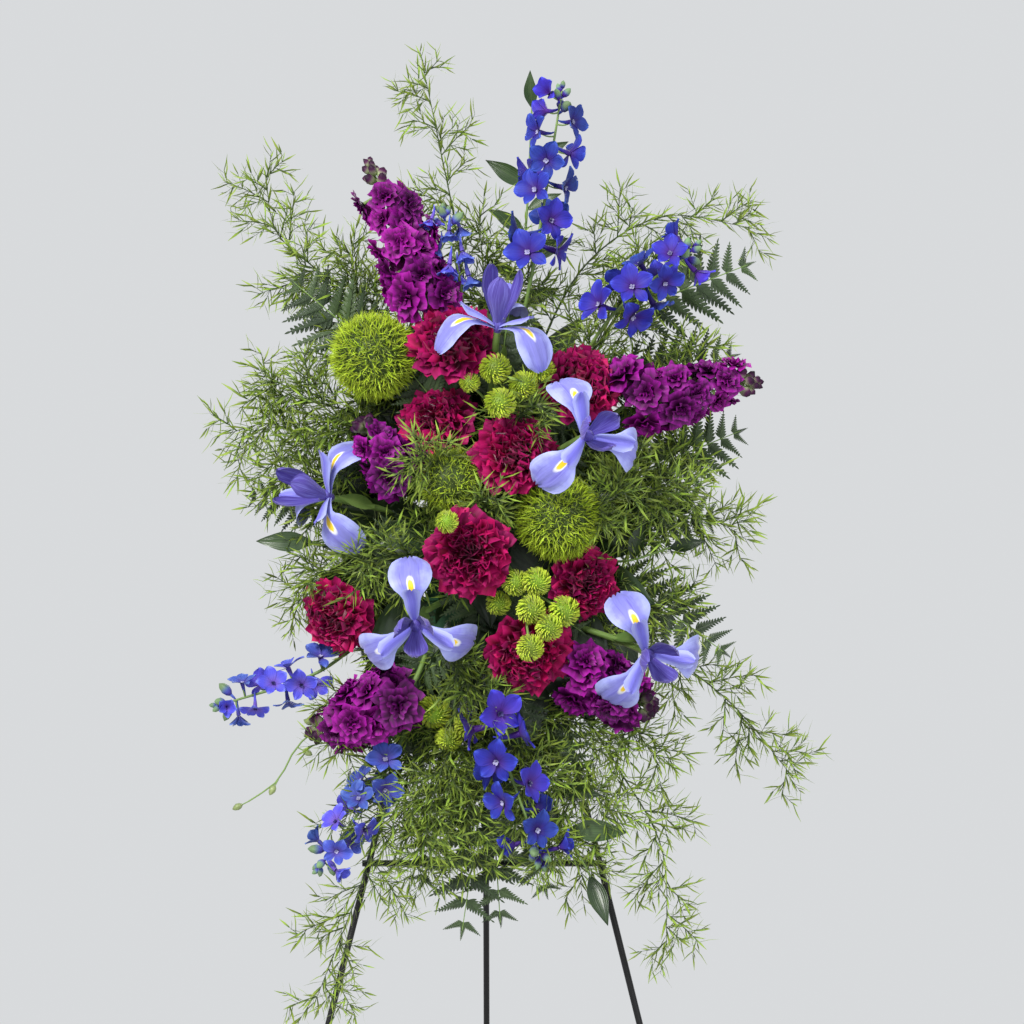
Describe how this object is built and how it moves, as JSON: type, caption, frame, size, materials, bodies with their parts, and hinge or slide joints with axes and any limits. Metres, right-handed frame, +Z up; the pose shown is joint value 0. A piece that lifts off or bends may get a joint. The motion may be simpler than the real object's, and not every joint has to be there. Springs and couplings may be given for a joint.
{
  "type": "standing funeral arrangement",
  "caption": "Mixed flower and fern spray in a caged block of wet floral foam, tied to a folding three-legged black wire easel with a hinged rear leg.",
  "frame": {"origin": "middle of the bounding box, on the floor", "axes": "+Z up, -Y the side that the flowers face, +X to the right of someone who looks at them"},
  "size_m": [0.6462, 0.6582, 1.5642],
  "materials": {
    "easel_black": "gloss",
    "wet_foam": "matte, damp",
    "cage_green": "satin",
    "tie_black": "satin",
    "stem_green": "satin",
    "crimson_petal": "soft",
    "violet_blue_petal": "soft",
    "purple_petal": "soft",
    "royal_blue_petal": "soft",
    "lime_petal": "matte",
    "fern_green": "satin",
    "ruscus_green": "glossy leaf",
    "asparagus_green": "satin"
  },
  "bodies": {
    "spray_on_easel": {"left_leg": "easel_black", "right_leg": "easel_black", "hinge_rod": "easel_black", "stop_rod": "easel_black", "lower_crossbar": "easel_black", "cable_tie_left": "tie_black", "cable_tie_right": "tie_black", "foam_block": "wet_foam", "foam_cage": "cage_green", "flower_stems": "stem_green", "carnation_1": "crimson_petal", "carnation_2": "crimson_petal", "carnation_3": "crimson_petal", "carnation_4": "crimson_petal", "carnation_5": "crimson_petal", "carnation_6": "crimson_petal", "carnation_7": "crimson_petal", "carnation_8": "crimson_petal", "iris_1": "violet_blue_petal", "iris_2": "violet_blue_petal", "iris_3": "violet_blue_petal", "iris_4": "violet_blue_petal", "iris_5": "violet_blue_petal", "stock_1": "purple_petal", "stock_2": "purple_petal", "stock_3": "purple_petal", "stock_4": "purple_petal", "stock_5": "purple_petal", "delphinium_1": "royal_blue_petal", "delphinium_2": "royal_blue_petal", "delphinium_3": "royal_blue_petal", "delphinium_4": "royal_blue_petal", "delphinium_5": "royal_blue_petal", "delphinium_6": "royal_blue_petal", "green_dianthus_1": "lime_petal", "green_dianthus_2": "lime_petal", "green_dianthus_3": "lime_petal", "button_poms_1": "lime_petal", "button_poms_2": "lime_petal", "button_poms_3": "lime_petal", "leatherleaf_1": "fern_green", "leatherleaf_2": "fern_green", "leatherleaf_3": "fern_green", "leatherleaf_4": "fern_green", "leatherleaf_5": "fern_green", "leatherleaf_6": "fern_green", "leatherleaf_7": "fern_green", "ruscus_1": "ruscus_green", "ruscus_2": "ruscus_green", "ruscus_3": "ruscus_green", "ruscus_4": "ruscus_green", "asparagus_1": "asparagus_green", "asparagus_2": "asparagus_green", "asparagus_3": "asparagus_green", "asparagus_4": "asparagus_green", "asparagus_5": "asparagus_green", "asparagus_6": "asparagus_green", "asparagus_7": "asparagus_green", "asparagus_8": "asparagus_green"},
    "rear_support": {"rear_leg": "easel_black"}
  },
  "joints": [
    {"name": "rear_leg_fold", "type": "hinge", "parent": "spray_on_easel", "child": "rear_support", "pos_m": [-0.01283, -0.06318, 1.10825], "axis": [-1, 0, 0], "range_deg": [0, 31]}
  ]
}
